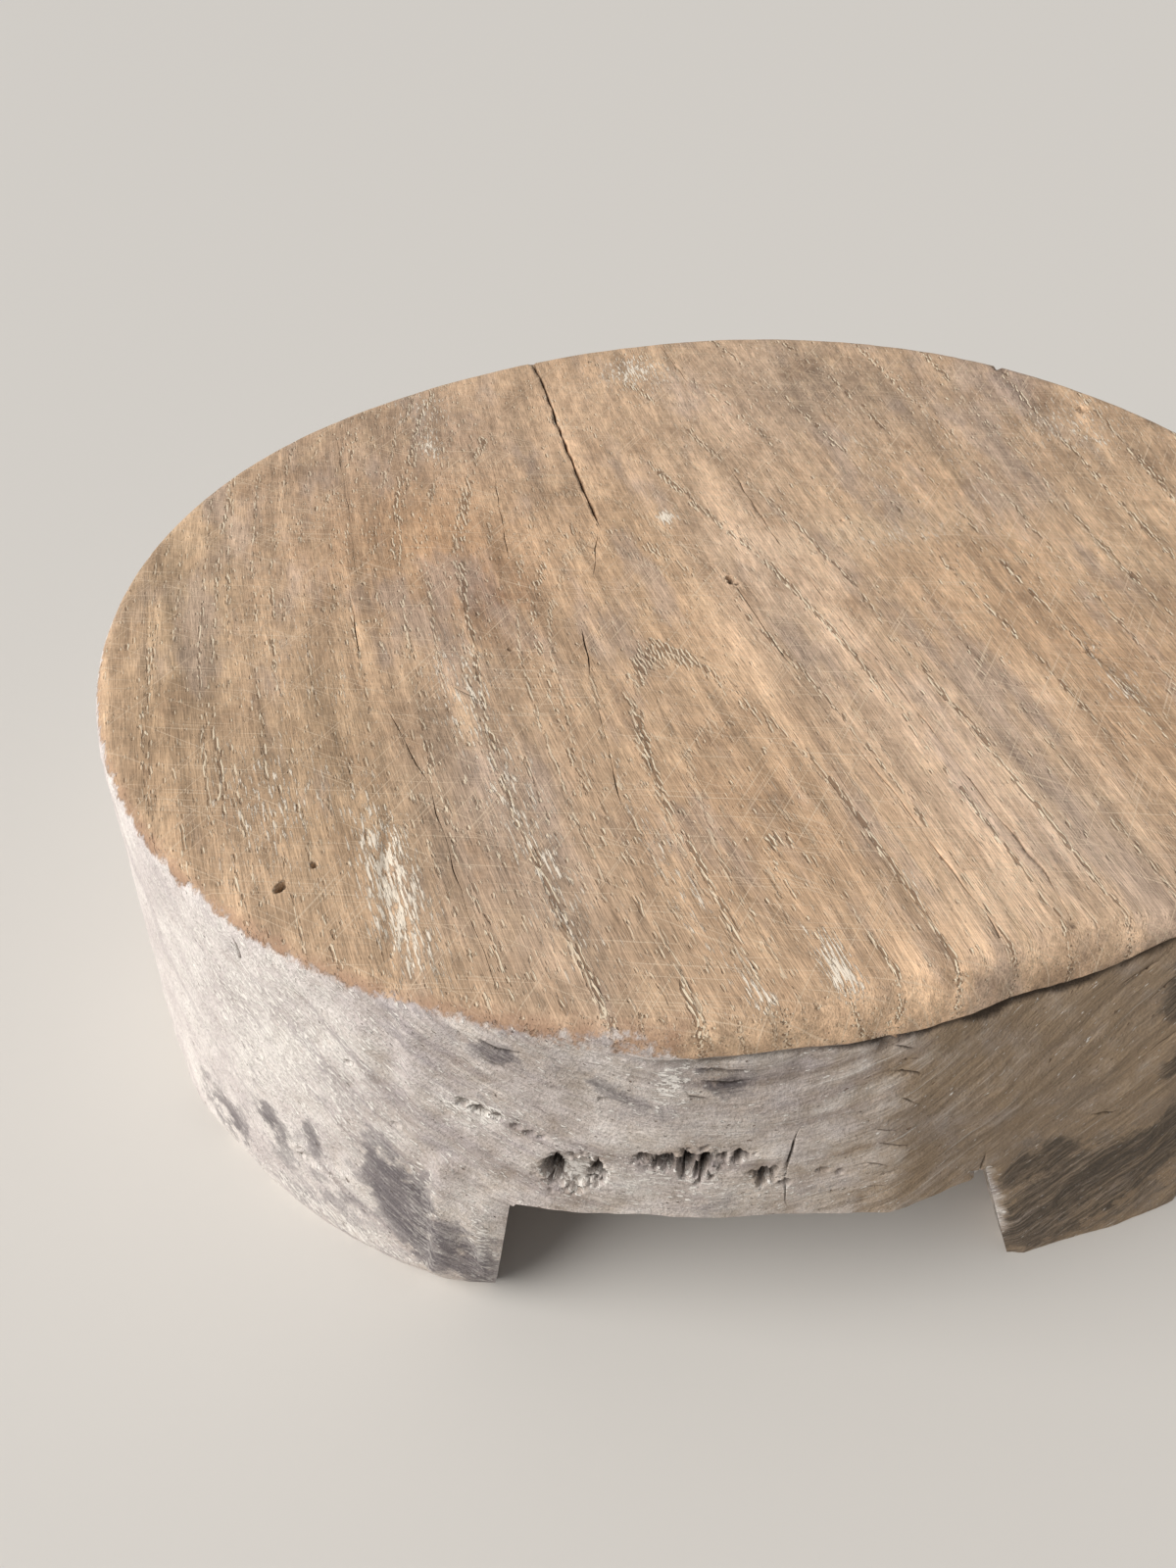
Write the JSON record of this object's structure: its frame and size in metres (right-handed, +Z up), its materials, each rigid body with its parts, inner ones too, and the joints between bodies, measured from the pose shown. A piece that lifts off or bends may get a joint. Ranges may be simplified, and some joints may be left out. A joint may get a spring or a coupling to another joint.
{
  "type": "rolling board",
  "caption": "Thick, slightly oval wooden rolling board with a flat worn top, a rough hewn pale wall, and runner feet either side of an open finger channel underneath.",
  "frame": {"origin": "middle of the footprint, on the surface that the feet stand on", "axes": "+Z up through the working face; Y along the channel, with -Y its near end; +X towards the right foot"},
  "size_m": [0.3402, 0.3189, 0.098],
  "materials": {
    "slab_wood": "dry, worn bare wood",
    "foot_wood": "dry, bleached hewn wood"
  },
  "bodies": {
    "root": {"rolling_slab": "slab_wood", "left_foot": "foot_wood", "right_foot": "foot_wood"}
  },
  "joints": []
}
